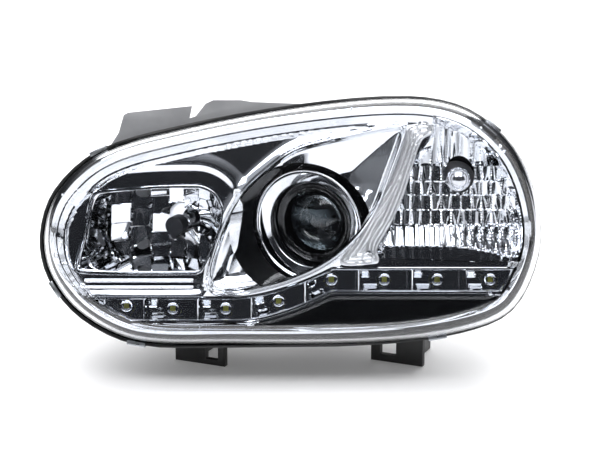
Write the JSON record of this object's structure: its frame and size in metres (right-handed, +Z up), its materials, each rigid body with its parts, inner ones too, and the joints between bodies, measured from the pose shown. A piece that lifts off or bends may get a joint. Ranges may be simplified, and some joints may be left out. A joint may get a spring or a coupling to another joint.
{
  "type": "car headlight assembly",
  "caption": "Swept-back car headlight with a clear domed lens, chromed bezel, projector low beam, faceted high beam, daytime LED strip and indicator; aimed by rear screws.",
  "frame": {"origin": "on the floor under the middle of the bounding box", "axes": "+X to the lamp's outer end, +Y to the rear of the car, +Z up; the lens faces -Y"},
  "size_m": [0.365, 0.277, 0.2177],
  "materials": {
    "clear_polycarbonate": "clear, hard coated",
    "housing_black": "moulded, fine grained",
    "chromed_plastic": "vacuum metallised",
    "gloss_black": "gloss",
    "spring_steel": "zinc plated",
    "bowl_aluminium": "die cast",
    "grey_plastic": "moulded",
    "white_nylon": "moulded",
    "seal_rubber": "matte",
    "projector_glass": "polished",
    "bulb_glass": "clear",
    "silvered_glass": "silvered",
    "board_green": "solder mask",
    "led_phosphor": "phosphor",
    "resistor_black": "moulded",
    "pin_brass": "tinned"
  },
  "bodies": {
    "housing_body": {"housing": "housing_black", "lens_cover": "clear_polycarbonate", "lens_seal": "seal_rubber", "lens_clips": "spring_steel", "bezel": "chromed_plastic", "louvres": "chromed_plastic", "bezel_screws": "spring_steel", "infill_panel": "gloss_black", "led_tray": "chromed_plastic", "led_board": "board_green", "led_chips": "led_phosphor", "led_resistors": "resistor_black", "led_optics": "clear_polycarbonate", "indicator_reflector": "chromed_plastic", "trim_strip": "clear_polycarbonate", "trim_screws": "spring_steel", "pivot_post": "housing_black", "level_motor": "housing_black", "motor_screws": "spring_steel", "socket_body": "housing_black", "socket_pins": "pin_brass", "vent_cap": "seal_rubber", "upper_bracket": "grey_plastic", "upper_screws": "spring_steel", "left_foot": "housing_black", "right_foot": "housing_black", "foot_screws": "spring_steel"},
    "pivot": {"pivot_ball": "spring_steel"},
    "beam_unit": {"aiming_frame": "grey_plastic", "pivot_socket": "white_nylon", "level_socket": "white_nylon", "aim_socket": "white_nylon", "projector_shroud": "chromed_plastic", "lens_holder": "gloss_black", "projector_lens": "projector_glass", "cutoff_shield": "spring_steel", "projector_reflector": "bowl_aluminium", "projector_screws": "spring_steel", "low_capsule": "bulb_glass", "low_bulb_base": "spring_steel", "high_reflector": "chromed_plastic", "high_bulb_shield": "chromed_plastic", "high_capsule": "bulb_glass", "high_bulb_base": "spring_steel"},
    "low_clip": {"low_bulb_clip": "spring_steel"},
    "high_clip": {"high_bulb_clip": "spring_steel"},
    "level_slider": {"level_spindle": "white_nylon"},
    "height_adjuster": {"height_knob": "grey_plastic"},
    "aim_adjuster": {"aim_screw": "grey_plastic"},
    "aim_slider": {"aim_nut": "white_nylon"},
    "low_cap": {"low_cover": "housing_black", "low_cover_seal": "seal_rubber"},
    "high_cap": {"high_cover": "housing_black", "high_cover_seal": "seal_rubber"},
    "indicator_unit": {"indicator_bulb": "silvered_glass", "indicator_bulb_base": "spring_steel", "indicator_holder": "grey_plastic", "indicator_seal": "seal_rubber"}
  },
  "joints": [
    {"name": "height_turn", "type": "hinge", "parent": "housing_body", "child": "height_adjuster", "pos_m": [-0.04284, 0.12947, 0.15985], "axis": [0, 1, 0], "range_deg": [-560, 560]},
    {"name": "level_slide", "type": "slide", "parent": "housing_body", "child": "level_slider", "axis": [0, 1, 0], "range_m": [-0.0031, 0.0031]},
    {"name": "beam_pan", "type": "hinge", "parent": "housing_body", "child": "pivot", "pos_m": [-0.04284, 0.04197, 0.07386], "axis": [0, 0, 1], "range_deg": [-1.79, 1.79]},
    {"name": "beam_tilt", "type": "hinge", "parent": "pivot", "child": "beam_unit", "pos_m": [-0.04284, 0.04197, 0.07386], "axis": [1, 0, 0], "range_deg": [-2, 2]},
    {"name": "aim_turn", "type": "hinge", "parent": "housing_body", "child": "aim_adjuster", "pos_m": [0.05316, 0.08747, 0.07386], "axis": [0, 1, 0], "range_deg": [-560, 560]},
    {"name": "aim_slide", "type": "slide", "parent": "housing_body", "child": "aim_slider", "axis": [0, 1, 0], "range_m": [-0.0031, 0.0031]},
    {"name": "low_cover_turn", "type": "hinge", "parent": "housing_body", "child": "low_cap", "pos_m": [0.00816, 0.08747, 0.11485], "axis": [0, -1, 0], "range_deg": [0, 30]},
    {"name": "high_cover_turn", "type": "hinge", "parent": "housing_body", "child": "high_cap", "pos_m": [-0.09123, 0.04307, 0.11227], "axis": [0, -1, 0], "range_deg": [0, 30]},
    {"name": "indicator_turn", "type": "hinge", "parent": "housing_body", "child": "indicator_unit", "pos_m": [0.1018, 0.05982, 0.14416], "axis": [-0.3929, 0.8824, -0.2588], "range_deg": [0, 45]},
    {"name": "low_clip_swing", "type": "hinge", "parent": "beam_unit", "child": "low_clip", "pos_m": [0.00816, 0.07987, 0.09885], "axis": [-1, 0, 0], "range_deg": [0, 75]},
    {"name": "high_clip_swing", "type": "hinge", "parent": "beam_unit", "child": "high_clip", "pos_m": [-0.09123, -0.01354, 0.09627], "axis": [-1, 0, 0], "range_deg": [0, 75]}
  ],
  "couplings": [
    {"joint": "height_turn", "follows": "beam_tilt", "ratio": -270.18},
    {"joint": "level_slide", "follows": "beam_tilt", "m_per_rad": -0.086},
    {"joint": "aim_turn", "follows": "beam_pan", "ratio": 301.59},
    {"joint": "aim_slide", "follows": "beam_pan", "m_per_rad": 0.096}
  ]
}
